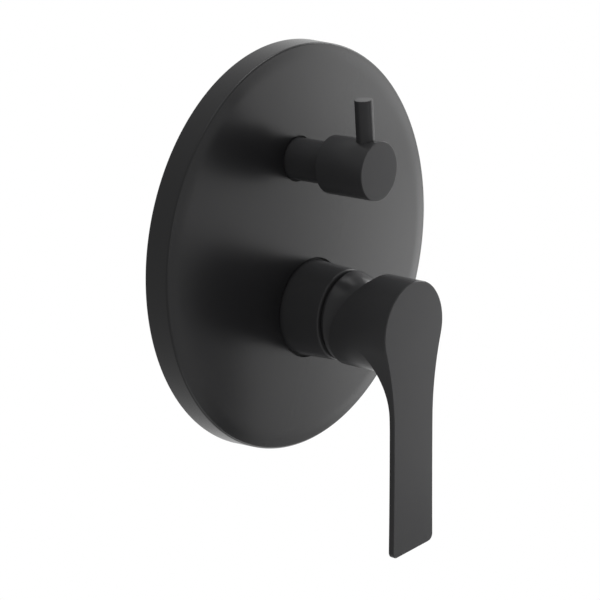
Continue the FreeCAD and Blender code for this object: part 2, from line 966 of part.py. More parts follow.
# Knob: turned from bar, bored from behind for the sleeve and the spindle
recess = "(diverter_sleeve_radius + knob_recess_play)"
spindle_hole = "(spindle_radius + knob_bore_play)"
knob = turned(
    "diverter_knob",
    [
        ("0", "spindle_front + knob_bore_end_gap"),
        (spindle_hole, "spindle_front + knob_bore_end_gap"),
        (spindle_hole, "knob_back + knob_recess_depth"),
        (recess, "knob_back + knob_recess_depth"),
        (recess, "knob_back"),
        ("knob_radius - knob_edge", "knob_back"),
        ("knob_radius", "knob_back + knob_edge"),
        ("knob_radius", "knob_front - knob_edge"),
        ("knob_radius - knob_edge", "knob_front"),
        ("0", "knob_front"),
    ],
    UPPER,
    "knob_rest_turn",
)
# A blind hole in its top takes the handle pin, and a threaded hole below takes the screw
pin_hole = [("0", "handle_pin_depth", "handle_pin_radius + handle_pin_play")]
add(
    knob,
    "Pocket",
    circles(knob, "XZ_Plane", pin_hole, "-handle_pin_foot + handle_pin_bevel"),
    "knob_radius",
)
screw_hole = [("0", "knob_screw_depth", "knob_screw_radius + knob_screw_play")]
add(knob, "Pocket", circles(knob, "XZ_Plane", screw_hole), "2 * knob_radius", True)

# Handle pin, with broken edges at both ends
handle_pin = new_body("diverter_pin", UPPER, "knob_rest_turn")
pin_round = [("0", "handle_pin_depth", "handle_pin_radius")]
add(
    handle_pin,
    "Pad",
    circles(handle_pin, "XZ_Plane", pin_round, "-handle_pin_top"),
    "handle_pin_top - handle_pin_foot",
)
bevel_edges(
    handle_pin, "Chamfer", "handle_pin_bevel", lambda edge: len(edge.Vertexes) == 1
)

grub_screw(
    "diverter_grub_screw",
    UPPER,
    "knob_rest_turn",
    "knob_screw_radius",
    "knob_screw_depth",
    "spindle_radius + knob_screw_play",
    "knob_screw_length",
)

# Headwork: the brass cartridge of the diverter, a cup for the discs under a long neck
headwork = turned(
    "diverter_headwork",
    [
        ("headwork_radius", "headwork_back"),
        ("headwork_radius", "headwork_shoulder"),
        ("headwork_neck", "headwork_shoulder"),
        ("headwork_neck", "headwork_front"),
        ("headwork_bore", "headwork_front"),
        ("headwork_bore", "headwork_roof_back"),
        ("headwork_cavity", "headwork_roof_back"),
        ("headwork_cavity", "headwork_back"),
    ],
    UPPER,
)

# Mixed water comes in through four windows in the side of the cup
window = [("0", "-mixed_way_depth", "headwork_window_radius")]
for role in ("XZ_Plane", "YZ_Plane"):
    window_sketch = circles(headwork, role, window, "-2 * headwork_radius")
    add(headwork, "Pocket", window_sketch, "4 * headwork_radius", True)

# Spindle, grooved for its seal and its clip, with a flange that drives the upper disc
flange_top = "(headwork_roof_back - spindle_flange_gap)"
flange_back = f"({flange_top} - spindle_flange_thickness)"
seal_floor = "(spindle_radius - 2 * spindle_seal_half)"
seal_half = "(spindle_seal_half + spindle_clearance)"
clip_floor = "(spindle_radius - circlip_groove)"
clip_front = "(circlip_back + circlip_thickness + circlip_play)"
turned(
    "diverter_spindle",
    [
        ("0", flange_back),
        ("spindle_flange", flange_back),
        ("spindle_flange", flange_top),
        ("spindle_radius", flange_top),
        ("spindle_radius", f"spindle_seal_depth - {seal_half}"),
        (seal_floor, f"spindle_seal_depth - {seal_half}"),
        (seal_floor, f"spindle_seal_depth + {seal_half}"),
        ("spindle_radius", f"spindle_seal_depth + {seal_half}"),
        ("spindle_radius", "circlip_back - circlip_play"),
        (clip_floor, "circlip_back - circlip_play"),
        (clip_floor, clip_front),
        ("spindle_radius", clip_front),
        ("spindle_radius", "spindle_front"),
        ("0", "spindle_front"),
    ],
    UPPER,
    "knob_rest_turn",
)
# Square cut seal in the spindle's groove, half its clearance from the groove and from the bore
turned(
    "diverter_spindle_seal",
    washer_section(
        f"{seal_floor} + spindle_clearance / 2",
        "spindle_radius + spindle_clearance / 2",
        "spindle_seal_depth - spindle_seal_half",
        "spindle_seal_depth + spindle_seal_half",
    ),
    UPPER,
)

# Open spring clip that keeps the spindle in the headwork
clip = turned(
    "diverter_circlip",
    washer_section(
        f"{clip_floor} + circlip_play",
        "circlip_radius",
        "circlip_back",
        "circlip_back + circlip_thickness",
    ),
    UPPER,
    "knob_rest_turn",
)
clip_gap = box_outline(
    "-circlip_opening / 2", "circlip_opening / 2", "-2 * circlip_radius", "0"
)
add(
    clip,
    "Pocket",
    outline(clip, "XY_Plane", clip_gap, "circlip_back + circlip_thickness"),
    "circlip_thickness",
)

# The diverter's two ceramic discs: a notch in the turning one uncovers a port of the other
upper_back = f"({flange_back} - diverter_disc_thickness)"
lower_front = f"({upper_back} - disc_film)"
lower_back = f"({lower_front} - diverter_disc_thickness)"
turning_disc = new_body("diverter_moving_disc", UPPER, "knob_rest_turn")
turning_round = [("0", "0", "diverter_disc_radius")]
add(
    turning_disc,
    "Pad",
    circles(turning_disc, "XY_Plane", turning_round, upper_back),
    "diverter_disc_thickness",
)
notch = box_outline(
    "-diverter_port_radius",
    "diverter_port_radius",
    "diverter_port_ring",
    "diverter_disc_radius + diverter_port_radius",
)
notch_sketch = outline(turning_disc, "XY_Plane", notch, flange_back)
add(turning_disc, "Pocket", notch_sketch, "diverter_disc_thickness")
notch_end = [("0", "diverter_port_ring", "diverter_port_radius")]
notch_end_sketch = circles(turning_disc, "XY_Plane", notch_end, flange_back)
add(turning_disc, "Pocket", notch_end_sketch, "diverter_disc_thickness")

still_disc = new_body("diverter_fixed_disc", UPPER)
still_round = [("0", "0", "diverter_disc_radius")]
add(
    still_disc,
    "Pad",
    circles(still_disc, "XY_Plane", still_round, lower_back),
    "diverter_disc_thickness",
)
outlets = [
    ("0", "diverter_port_ring", "diverter_port_radius"),
    ("diverter_port_ring", "0", "diverter_port_radius"),
]
add(
    still_disc,
    "Pocket",
    circles(still_disc, "XY_Plane", outlets, lower_front),
    "diverter_disc_thickness",
)

# Rubber pad under the discs that presses them together and keeps their two ports apart
base_seal = turned(
    "diverter_base_seal",
    [
        ("0", "headwork_back"),
        ("diverter_disc_radius", "headwork_back"),
        ("diverter_disc_radius", lower_back),
        ("0", lower_back),
    ],
    UPPER,
)
seal_holes = circles(base_seal, "XY_Plane", outlets, lower_back)
add(base_seal, "Pocket", seal_holes, f"{lower_back} - (headwork_back)")

# Ring nut that holds the headwork in the body
ring_nut_bore = "(headwork_neck + ring_nut_bore_play)"
ring_nut = turned(
    "diverter_nut",
    washer_section(
        ring_nut_bore,
        "diverter_bore - ring_nut_thread_play",
        "headwork_shoulder",
        "-diverter_barrel_front",
    ),
    UPPER,
)
ring_nut_outline = outline(ring_nut, "XY_Plane", hexagon("ring_nut_flats"), "-diverter_barrel_front")
add(ring_nut, "Pad", ring_nut_outline, "ring_nut_height")
ring_nut_top = "ring_nut_height - diverter_barrel_front"
ring_nut_hole = circles(ring_nut, "XY_Plane", [("0", "0", ring_nut_bore)], ring_nut_top)
add(ring_nut, "Pocket", ring_nut_hole, "ring_nut_height")

# Brass body. Its two barrels are joined by a web, and four bosses carry the pipe threads.
valve_body = new_body("valve_body")
barrel_wall = "diverter_bore + diverter_barrel_wall"


def boss(kind, rounds, back, front):
    """Adds or cuts round stretches that run from one depth to another."""
    if kind == "Pad":
        return add(valve_body, kind, circles(valve_body, "XY_Plane", rounds, back), f"{front} - ({back})")
    return add(valve_body, kind, circles(valve_body, "XY_Plane", rounds, front), f"{front} - ({back})")


boss("Pad", [("0", MAIN, "body_barrel_radius")], "-body_back", "(-body_barrel_front)")
bevel_edges(
    valve_body, "Fillet", "body_foot_round", lambda edge: lies_at(edge, -value("body_back"))
)
boss("Pad", [("0", MAIN, "barrel_radius")], "-body_barrel_front", "barrel_front")
boss("Pad", [("0", UPPER, barrel_wall)], "-diverter_barrel_back", "(-diverter_barrel_front)")
web = box_outline("-web_width / 2", "web_width / 2", MAIN, UPPER)
web_sketch = outline(valve_body, "XY_Plane", web, "-diverter_barrel_back")
add(valve_body, "Pad", web_sketch, "diverter_barrel_back - web_front")
lug_half = "lug_spacing / 2"
lug_bar = box_outline(
    f"-{lug_half}", lug_half, "lug_rise - lug_radius", "lug_rise + lug_radius"
)
lug_sketch = outline(valve_body, "XY_Plane", lug_bar, "-diverter_barrel_back")
add(valve_body, "Pad", lug_sketch, "lug_thickness")
lug_ends = [(f"-{lug_half}", "lug_rise", "lug_radius"), (lug_half, "lug_rise", "lug_radius")]
boss("Pad", lug_ends, "-diverter_barrel_back", "(lug_thickness - diverter_barrel_back)")
inlet_boss = [(MAIN, "-waterway_depth", "port_boss_radius")]
inlet_sketch = circles(valve_body, "YZ_Plane", inlet_boss, "-inlet_reach")
add(valve_body, "Pad", inlet_sketch, "2 * inlet_reach")
upright_boss = [("0", "-waterway_depth", "port_boss_radius")]
bottom_end = "(main_axis_drop + outlet_drop)"
top_end = "(diverter_axis_rise + outlet_rise)"
lower_sketch = circles(valve_body, "XZ_Plane", upright_boss, "main_axis_drop")
add(valve_body, "Pad", lower_sketch, "outlet_drop")
upper_sketch = circles(valve_body, "XZ_Plane", upright_boss, f"-{top_end}")
add(valve_body, "Pad", upper_sketch, "outlet_rise")

# Seats of the two cartridges
boss("Pocket", [("0", MAIN, "cartridge_bore")], "seat_depth", "barrel_front")
boss("Pocket", [("0", UPPER, "diverter_bore")], "headwork_back", "(-diverter_barrel_front)")
# Pipe threads and the waterways behind them
for side in ("-", ""):
    thread = circles(
        valve_body, "YZ_Plane", [(MAIN, "-waterway_depth", "port_thread_radius")], f"{side}inlet_reach"
    )
    add(valve_body, "Pocket", thread, "port_thread_length", side == "-")
    way = circles(
        valve_body, "YZ_Plane", [(MAIN, "-waterway_depth", "waterway_radius")], f"{side}inlet_reach"
    )
    add(valve_body, "Pocket", way, "inlet_reach - waterway_wall", side == "-")
thread_round = [("0", "-waterway_depth", "port_thread_radius")]
bottom_thread = circles(valve_body, "XZ_Plane", thread_round, bottom_end)
add(valve_body, "Pocket", bottom_thread, "port_thread_length")
top_thread = circles(valve_body, "XZ_Plane", thread_round, f"-{top_end}")
add(valve_body, "Pocket", top_thread, "top_thread_length", True)
way_round = [("0", "-waterway_depth", "waterway_radius")]
bottom_way = circles(valve_body, "XZ_Plane", way_round, bottom_end)
join_drop = "(main_axis_drop + side_way_drop)"
bottom_way_length = f"{bottom_end} - {join_drop} + outlet_way_radius"
add(valve_body, "Pocket", bottom_way, bottom_way_length)
# The mixer's two inlet ports run from its seat down to the side waterways
inlet_ports = [
    ("-inlet_spread", f"{MAIN} - inlet_drop", "port_radius"),
    ("inlet_spread", f"{MAIN} - inlet_drop", "port_radius"),
]
boss("Pocket", inlet_ports, "-waterway_depth", "seat_depth")
# Mixed water leaves by the upper port and goes up to the side of the diverter's chamber
mixed_port = [("0", f"{MAIN} + mixed_rise", "port_radius")]
boss("Pocket", mixed_port, "-mixed_way_depth", "seat_depth")
mixed_round = [("0", "-mixed_way_depth", "mixed_way_radius")]
mixed_way = circles(valve_body, "XZ_Plane", mixed_round, "main_axis_drop - mixed_rise")
chamber_side = "(diverter_axis_rise - headwork_radius)"
add(valve_body, "Pocket", mixed_way, f"main_axis_drop - mixed_rise + {chamber_side}")
# One port of the chamber's floor leads up to the top outlet, the other down to the bottom one
upper_port = "(diverter_axis_rise + diverter_port_ring)"
chamber_floor = "(headwork_back + diverter_barrel_front)"
upper_rounds = [("0", upper_port, "outlet_way_radius")]
boss("Pocket", upper_rounds, "-up_way_depth", chamber_floor)
up_round = [("0", "-up_way_depth", "outlet_way_radius")]
up_way = circles(valve_body, "XZ_Plane", up_round, f"-{upper_port}")
add(valve_body, "Pocket", up_way, f"{top_end} - top_thread_length / 2 - {upper_port}")
side_rounds = [
    ("diverter_port_ring", UPPER, "outlet_way_radius"),
    ("diverter_port_ring", f"-{join_drop}", "outlet_way_radius"),
]
boss("Pocket", [side_rounds[0]], "-down_way_depth", chamber_floor)
boss("Pocket", [side_rounds[1]], "-down_way_depth", "(-waterway_depth)")
down_round = [("diverter_port_ring", "-down_way_depth", "outlet_way_radius")]
down_way = circles(valve_body, "XZ_Plane", down_round, join_drop)
add(valve_body, "Pocket", down_way, f"{join_drop} + diverter_axis_rise")
lug_holes = [(f"-{lug_half}", "lug_rise", "lug_hole_radius"), (lug_half, "lug_rise", "lug_hole_radius")]
boss("Pocket", lug_holes, "-diverter_barrel_back", "(lug_thickness - diverter_barrel_back)")

# Every object has to be sound before anything is written
doc.recompute()
for item in doc.Objects:
    if "Invalid" in item.State or "Error" in item.State:
        raise ValueError(f"{item.Label} is {item.State}")
for item in doc.Objects:
    if not item.isDerivedFrom("PartDesign::Body"):
        continue
    shape = item.Shape
    if shape.isNull() or not shape.isValid() or not shape.Solids:
        raise ValueError(f"{item.Label} has no sound shape")
    shape.exportStep(os.path.join(PARTS, item.Label + ".step"))
    box = shape.BoundBox
    print(
        f"{item.Label:26s} solids {len(shape.Solids)} volume {shape.Volume:10.1f}"
        f"  x {box.XMin:7.2f} {box.XMax:7.2f}  y {box.YMin:7.2f} {box.YMax:7.2f}"
        f"  z {box.ZMin:7.2f} {box.ZMax:7.2f}"
    )
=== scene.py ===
# %% [markdown]
# # A black shower mixer with a diverter
# The object is the visible half of a valve that is built into a wall: a round plate, a lever on a
# domed cap, and a small diverter knob with a pin for a handle. The construction model gives every
# piece its true place and size. This lesson dresses it: turned surfaces with properly rounded
# edges, a satin powder coat, a plain studio, and the camera of the photograph. Lengths are metres.

# %% Start from the construction model
import math

import bmesh
import bpy
import numpy as np
from mathutils import Matrix, Vector


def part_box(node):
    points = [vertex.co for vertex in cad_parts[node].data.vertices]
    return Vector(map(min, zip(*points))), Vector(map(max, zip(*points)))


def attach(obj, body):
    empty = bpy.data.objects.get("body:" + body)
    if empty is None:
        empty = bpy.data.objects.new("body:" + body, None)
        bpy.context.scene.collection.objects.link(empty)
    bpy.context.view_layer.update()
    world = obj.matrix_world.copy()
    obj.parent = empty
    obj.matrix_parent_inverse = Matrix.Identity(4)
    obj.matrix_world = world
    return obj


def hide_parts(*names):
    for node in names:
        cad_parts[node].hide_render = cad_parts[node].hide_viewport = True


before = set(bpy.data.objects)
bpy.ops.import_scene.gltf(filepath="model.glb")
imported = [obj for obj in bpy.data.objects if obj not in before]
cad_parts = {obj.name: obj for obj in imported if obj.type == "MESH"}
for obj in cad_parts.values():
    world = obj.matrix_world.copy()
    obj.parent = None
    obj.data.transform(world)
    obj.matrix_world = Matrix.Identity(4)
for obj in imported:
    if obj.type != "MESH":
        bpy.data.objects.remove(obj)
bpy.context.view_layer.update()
MM = 0.001
print("pieces in the construction model:", len(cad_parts))

# %% [markdown]
# ## The camera
# Product photographs are taken from far away with a long lens, so that round parts don't look
# stretched. Here the lens is 120 mm on a 36 mm sensor, and the camera stands to the left of the
# valve and a little above it, tipped a few degrees. A camera is a position and three directions,
# so it is worked out from two angles, a distance and the point that it looks at.

# %% Camera of the photograph
CAMERA_AZIMUTH = math.radians(-49.58)
CAMERA_ELEVATION = math.radians(21.35)
CAMERA_ROLL = math.radians(-5.11)
CAMERA_DISTANCE = 0.8944
CAMERA_AIM = Vector((0.00647, 0.0, -0.02879))
LENS_MM = 120.0
SENSOR_MM = 36.0


def add_camera():
    """Position = aim + distance x back, where back points from the aim towards the camera by
    azimuth and elevation. The roll turns the right and up directions about back."""
    back = Vector(
        (
            math.sin(CAMERA_AZIMUTH) * math.cos(CAMERA_ELEVATION),
            -math.cos(CAMERA_AZIMUTH) * math.cos(CAMERA_ELEVATION),
            math.sin(CAMERA_ELEVATION),
        )
    )
    level = (-back).cross(Vector((0, 0, 1))).normalized()
    upright = back.cross(level)
    right = level * math.cos(CAMERA_ROLL) + upright * math.sin(CAMERA_ROLL)
    up = upright * math.cos(CAMERA_ROLL) - level * math.sin(CAMERA_ROLL)
    data = bpy.data.cameras.new("studio_camera")
    data.lens = LENS_MM
    data.sensor_width = SENSOR_MM
    camera = bpy.data.objects.new("studio_camera", data)
    camera.matrix_world = Matrix((right, up, back)).transposed().to_4x4()
    camera.location = CAMERA_AIM + back * CAMERA_DISTANCE
    bpy.context.scene.collection.objects.link(camera)
    bpy.context.scene.camera = camera
    return camera


camera = add_camera()
bpy.context.scene.view_settings.view_transform = "Standard"
print("camera stands at", [round(c, 3) for c in camera.location])

# %% [markdown]
# ## Colours and nodes
# Colours are easiest to read as the hex values of a paint chart, but a shader works in linear
# light. One function turns the one into the other. A second function adds a node with its
# settings and links, so that a material reads like a list of what it is made of.

# %% Helpers for colours and nodes


def linear(hex_colour):
    """sRGB hex to linear light: the code over 12.92 up to 0.04045, above it the 2.4 power curve."""
    code = np.array([int(hex_colour[i : i + 2], 16) for i in (0, 2, 4)]) / 255.0
    light = np.where(code <= 0.04045, code / 12.92, ((code + 0.055) / 1.055) ** 2.4)
    return (*light, 1.0)


def add_node(tree, kind, settings=None, links=None):
    """Adds a node. Settings are properties or unlinked sockets, links map sockets to outputs."""
    node = tree.nodes.new(kind)
    for key, setting in (settings or {}).items():
        if isinstance(key, int) or key in node.inputs:
            node.inputs[key].default_value = setting
        else:
            setattr(node, key, setting)
    for key, output in (links or {}).items():
        tree.links.new(output, node.inputs[key])
    return node


print("the hex grey 808080 is", round(float(linear("808080")[0]), 3), "in linear light")

# %% [markdown]
# ## Satin black powder coat
# All visible trim is brass or drawn steel with a black polyester powder coat. The powder is
# sprayed on dry and melted in an oven. It flows into a skin that is even in colour, with a very
# fine ripple, about half a millimetre from crest to crest. A matting agent in the powder weakens
# what the skin mirrors, so its specular level is well below the usual 0.5, while the roughness
# stays that of satin. The deep drawn steel of the plate and the cast brass of the fittings wear
# the same coat, given here as two copies: the fittings' colour is painted lighter, as painted
# light, and the plate's darker, as painted shade. The plate's copy is also the shinier of the two.
#
# The material mixes two close tones by a slow noise, because no coat is quite even, and lets a
# fine noise of the ripple's real size move both the bump and the roughness.

# %% Powder coat
CLOUD_SIZE = 18 * MM
CLOUD_TONE = 1.12
RIPPLE_STRENGTH = 0.35
COAT_GLOSS_SPREAD = 0.02
POLYESTER_IOR = 1.5
# A noise texture rarely leaves this range
NOISE_LOW, NOISE_HIGH = 0.3, 0.7


def powder_coat(name, colour, roughness, specular_level, ripple_mm, ripple_height_mm):
    """Even colour with a faint cloudiness, a fine ripple in the bump, and a satin gloss."""
    material = bpy.data.materials.new(name)
    material.use_nodes = True
    tree = material.node_tree
    shader = tree.nodes["Principled BSDF"]
    place = add_node(tree, "ShaderNodeTexCoord").outputs["Object"]
    ripple = add_node(
        tree,
        "ShaderNodeTexNoise",
        {"Scale": 1.0 / (ripple_mm * MM), "Detail": 3.0, "Roughness": 0.55},
        {"Vector": place},
    )
    cloud = add_node(
        tree, "ShaderNodeTexNoise", {"Scale": 1.0 / CLOUD_SIZE, "Detail": 2.0}, {"Vector": place}
    )
    lighter = tuple(c * CLOUD_TONE for c in linear(colour))
    tone = add_node(tree, "ShaderNodeMix", {"data_type": "RGBA", 6: linear(colour), 7: lighter})
    tree.links.new(cloud.outputs["Fac"], tone.inputs[0])
    gloss = add_node(
        tree,
        "ShaderNodeMapRange",
        {
            "From Min": NOISE_LOW,
            "From Max": NOISE_HIGH,
            "To Min": roughness - COAT_GLOSS_SPREAD,
            "To Max": roughness + COAT_GLOSS_SPREAD,
        },
        {"Value": ripple.outputs["Fac"]},
    )
    bump = add_node(
        tree,
        "ShaderNodeBump",
        {"Strength": RIPPLE_STRENGTH, "Distance": ripple_height_mm * MM},
        {"Height": ripple.outputs["Fac"]},
    )
    tree.links.new(tone.outputs[2], shader.inputs["Base Color"])
    tree.links.new(gloss.outputs["Result"], shader.inputs["Roughness"])
    tree.links.new(bump.outputs["Normal"], shader.inputs["Normal"])
    shader.inputs["IOR"].default_value = POLYESTER_IOR
    shader.inputs["Specular IOR Level"].default_value = specular_level
    return material


# Two copies of one coat: the plate's colour is painted darker as shade, the fittings' lighter as
# light
plate_coat_painted_darker = powder_coat("powder_coat_painted_darker_on_plate", "1a1a1b", 0.25, 0.19, 0.6, 0.012)
fittings_coat_painted_lighter = powder_coat("powder_coat_painted_lighter_on_fittings", "353536", 0.25, 0.08, 0.5, 0.006)
print("powder coats:", plate_coat_painted_darker.name, fittings_coat_painted_lighter.name)

# %% [markdown]
# ## What the wall hides
# Behind the plate are raw materials. The body is sand cast brass with a granular skin, the
# cartridge parts are turned brass with fine tool rings, moulded acetal, nitrile rubber, stainless
# steel and lapped alumina. They only show when the valve is seen from behind, but each is still
# made of what it is.

# %% Materials of the hidden pieces
RAW_GLOSS_SPREAD = 0.05
GRAIN_STRENGTH = 0.5


def raw_material(name, colour, other, metallic, roughness, grain_mm, height_mm, stretch=(1, 1, 1)):
    """Two close tones mixed by a grain of the given size, which also moves the bump and gloss."""
    material = bpy.data.materials.new(name)
    material.use_nodes = True
    tree = material.node_tree
    shader = tree.nodes["Principled BSDF"]
    place = add_node(tree, "ShaderNodeTexCoord").outputs["Object"]
    stretched = add_node(tree, "ShaderNodeMapping", {"Scale": stretch}, {"Vector": place})
    grain = add_node(
        tree,
        "ShaderNodeTexNoise",
        {"Scale": 1.0 / (grain_mm * MM), "Detail": 4.0, "Roughness": 0.6},
        {"Vector": stretched.outputs["Vector"]},
    )
    tone = add_node(
        tree, "ShaderNodeMix", {"data_type": "RGBA", 6: linear(colour), 7: linear(other)}
    )
    tree.links.new(grain.outputs["Fac"], tone.inputs[0])
    gloss = add_node(
        tree,
        "ShaderNodeMapRange",
        {
            "From Min": NOISE_LOW,
            "From Max": NOISE_HIGH,
            "To Min": roughness - RAW_GLOSS_SPREAD,
            "To Max": roughness + RAW_GLOSS_SPREAD,
        },
        {"Value": grain.outputs["Fac"]},
    )
    bump = add_node(
        tree,
        "ShaderNodeBump",
        {"Strength": GRAIN_STRENGTH, "Distance": height_mm * MM},
        {"Height": grain.outputs["Fac"]},
    )
    tree.links.new(tone.outputs[2], shader.inputs["Base Color"])
    tree.links.new(gloss.outputs["Result"], shader.inputs["Roughness"])
    tree.links.new(bump.outputs["Normal"], shader.inputs["Normal"])
    shader.inputs["Metallic"].default_value = metallic
    return material


# The sand of the mould leaves grains of nearly a millimetre in the skin, which dull its shine
cast_brass = raw_material("sand_cast_brass", "b08d4c", "a07c3c", 1.0, 0.45, 0.8, 0.08)
# Off the lathe brass is bright, with fine rings that draw its highlights out along the axis
turned_brass = raw_material(
    "turned_brass", "c9a861", "b8954e", 1.0, 0.28, 0.5, 0.01, (0.15, 1.0, 0.15)
)
# Centreless grinding leaves an even grey shine with a finer grain than the lathe's
ground_steel = raw_material(
    "ground_stainless_steel", "b9babc", "a5a6a8", 1.0, 0.3, 0.4, 0.008, (0.2, 1.0, 0.2)
)
nitrile_rubber = raw_material("moulded_nitrile_rubber", "0c0c0d", "101011", 0.0, 0.7, 0.4, 0.02)
# The rubber is full of carbon black and has a dull skin, so it mirrors little
nitrile_rubber.node_tree.nodes["Principled BSDF"].inputs["Specular IOR Level"].default_value = 0.2
# Lapped until two discs cling together, alumina is nearly white and nearly a mirror
alumina = raw_material("lapped_alumina_ceramic", "e9e6dd", "e2ded3", 0.0, 0.16, 0.3, 0.002)
# Acetal comes from the mould milky white and with a waxy satin
acetal = raw_material("moulded_acetal", "dcdcd6", "d2d2cc", 0.0, 0.42, 0.7, 0.01)

HIDDEN_FINISHES = {
    "valve_body": cast_brass,
    "cartridge_nut": turned_brass,
    "diverter_nut": turned_brass,
    "diverter_headwork": turned_brass,
    "diverter_spindle": turned_brass,
    "lever_stem": ground_steel,
    "stem_pivot_pin": ground_steel,
    "lever_grub_screw": ground_steel,
    "diverter_grub_screw": ground_steel,
    "diverter_circlip": ground_steel,
    "plate_rim_seal": nitrile_rubber,
    "plate_main_gasket": nitrile_rubber,
    "plate_diverter_gasket": nitrile_rubber,
    "main_sleeve_ring": nitrile_rubber,
    "cartridge_port_seals": nitrile_rubber,
    "diverter_spindle_seal": nitrile_rubber,
    "diverter_base_seal": nitrile_rubber,
    "cartridge_moving_disc": alumina,
    "cartridge_fixed_disc": alumina,
    "diverter_moving_disc": alumina,
    "diverter_fixed_disc": alumina,
    "cartridge_base": acetal,
    "cartridge_housing": acetal,
    "stem_swivel": acetal,
    "disc_carrier": acetal,
}


def give_finish(piece, material):
    """Puts one material on a piece in place of what it came with."""
    piece.data.materials.clear()
    piece.data.materials.append(material)


for node, finish in HIDDEN_FINISHES.items():
    give_finish(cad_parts[node], finish)
print("hidden pieces finished:", len(HIDDEN_FINISHES))

# %% [markdown]
# ## Turned surfaces
# Nearly everything on this valve comes off a lathe. A turned surface is a profile of radius and
# depth that is carried once round an axis. Real turned edges are never knife sharp, so the
# profile's corners are replaced by small arcs first, with a spare point beside each arc that
# keeps the long flats flat when the shading is smoothed.

# %% Rounded profiles and the lathe
ARC_STEPS = 6
ROUND_STEPS = 160
SPARE = 0.25 * MM
MERGE_DISTANCE = 0.002 * MM
# Half of the angle at a corner: from here on the profile runs straight through it
STRAIGHT = math.radians(89.5)
# Faces that meet at more than this keep a crisp edge between them
CRISP_ANGLE = math.radians(35)


def rounded(corners):
    """Corners are (radius, depth, round). At a round corner the arc touches both sides: its ends
    lie round x tan(half the turn) from the corner, and its points turn evenly about its centre.
    A corner that doesn't turn stays a plain point."""
    spots = np.array([c[:2] for c in corners], float)
    rounds = np.array([c[2] for c in corners], float)
    neighbours = zip(np.roll(spots, 1, 0), spots, np.roll(spots, -1, 0), rounds)
    points = []
    for before, spot, after, size in neighbours:
        back = (before - spot) / np.linalg.norm(before - spot)
        on = (after - spot) / np.linalg.norm(after - spot)
        half = math.acos(np.clip(back @ on, -1, 1)) / 2
        if size == 0 or half > STRAIGHT:
            points.append(spot[None])
            continue
        reach = size / math.tan(half)
        middle = spot + (back + on) / np.linalg.norm(back + on) * size / math.sin(half)
        first = spot + back * reach - middle
        last = spot + on * reach - middle
        whole = math.pi - 2 * half
        turn = np.linspace(0, 1, ARC_STEPS + 1)[:, None] * whole
        arc = (first * np.sin(whole - turn) + last * np.sin(turn)) / math.sin(whole)
        points += [
            (spot + back * (reach + min(SPARE, reach)))[None],
            middle + arc,
            (spot + on * (reach + min(SPARE, reach)))[None],
        ]
    return np.concatenate(points)


def merge_and_orient(mesh):
    """Merges points that coincide, drops what has no face left, and turns all faces outwards."""
    work = bmesh.new()
    work.from_mesh(mesh)
    bmesh.ops.remove_doubles(work, verts=work.verts, dist=MERGE_DISTANCE)
    bare = [edge for edge in work.edges if not edge.link_faces]
    bmesh.ops.delete(work, geom=bare, context="EDGES")
    bmesh.ops.recalc_face_normals(work, faces=work.faces)
    work.to_mesh(mesh)
    work.free()


def closed_mesh(name, grid, material):
    """Turns a grid of points, closed both ways, into a mesh. Each face joins a point, the next one
    in its row, and the two beside them in the next row. Doubles at the axis are merged."""
    rows, columns = grid.shape[:2]
    number = np.arange(rows * columns).reshape(rows, columns)
    beside = np.roll(number, -1, 1)
    faces = np.stack([number, beside, np.roll(beside, -1, 0), np.roll(number, -1, 0)], -1)
    mesh = bpy.data.meshes.new(name)
    mesh.from_pydata(grid.reshape(-1, 3), [], faces.reshape(-1, 4))
    mesh.validate()
    merge_and_orient(mesh)
    mesh.shade_smooth()
    piece = bpy.data.objects.new(name, mesh)
    bpy.context.scene.collection.objects.link(piece)
    give_finish(piece, material)
    return piece


def turned(name, corners, height, material, steps=ROUND_STEPS):
    """P(u, v) = axis + radius(v) (cos u across + sin u up) + depth(v) towards the room."""
    profile = rounded(corners)
    angle = np.linspace(0, 2 * math.pi, steps, endpoint=False)[None, :]
    radius, depth = profile[:, 0][:, None], profile[:, 1][:, None]
    grid = np.stack(
        [radius * np.cos(angle), -depth + 0 * angle, height + radius * np.sin(angle)], -1
    )
    return closed_mesh(name, grid, material)


print("a turned piece has", ROUND_STEPS, "sides, and a round corner", ARC_STEPS, "steps")

# %% [markdown]
# ## Where the pieces are
# The dressed pieces have to sit just where the solids are. Heights, depths and most widths are
# therefore read from the boxes of the construction model. What a box can't tell, such as walls,
# bores, balls and edge rounds, is typed in where it is first needed.

# %% Sizes read from the construction model


def middle_height(node):
    """Height of the middle of a node's box."""
    low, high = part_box(node)
    return (low.z + high.z) / 2


def depths(node):
    """Rear and front of a node, counted from the wall towards the room."""
    low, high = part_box(node)
    return -high.y, -low.y


def half_width(node):
    """Half of a node's width."""
    low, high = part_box(node)
    return (high.x - low.x) / 2


MAIN_HEIGHT = middle_height("main_sleeve")
UPPER_HEIGHT = middle_height("diverter_sleeve")
plate_front = depths("cover_plate")[1]
plate_radius = half_width("cover_plate")
print("plate radius", round(plate_radius, 4), "and front", round(plate_front, 4))

# %% [markdown]
# ## The cover plate
# The plate is a disc of 1.6 mm steel, deep drawn over a former, so its rim is slightly drafted
# and it meets the face in a round of less than a millimetre. The face is flat in the middle and
# falls away a little towards the edge. Two holes are punched in it. The lathe gives the shell,
# and a boolean cut gives the holes, because a punch does just that.

# %% Cover plate
PLATE_WALL = 1.6 * MM
PLATE_DRAFT = 0.6 * MM
FACE_FALL = 0.35 * MM
FALL_WIDTH = 7 * MM
FALL_STEPS = 8
EDGE_ROUND = 0.9 * MM
RIM_FOOT_ROUND = 0.3 * MM
INSIDE_ROUND = 0.6 * MM
PLATE_SIDES = 256
UPPER_RING_WIDTH = 0.8 * MM
MAIN_HOLE = half_width("plate_main_gasket")
UPPER_HOLE = half_width("diverter_sleeve") + UPPER_RING_WIDTH
# The punch starts behind the plate and ends in front of it
PUNCH_BACK, PUNCH_FRONT = -5 * MM, 20 * MM
# 150 corners put the middle of a side, and no corner, on the plate's own upright edges
PUNCH_SIDES = 150


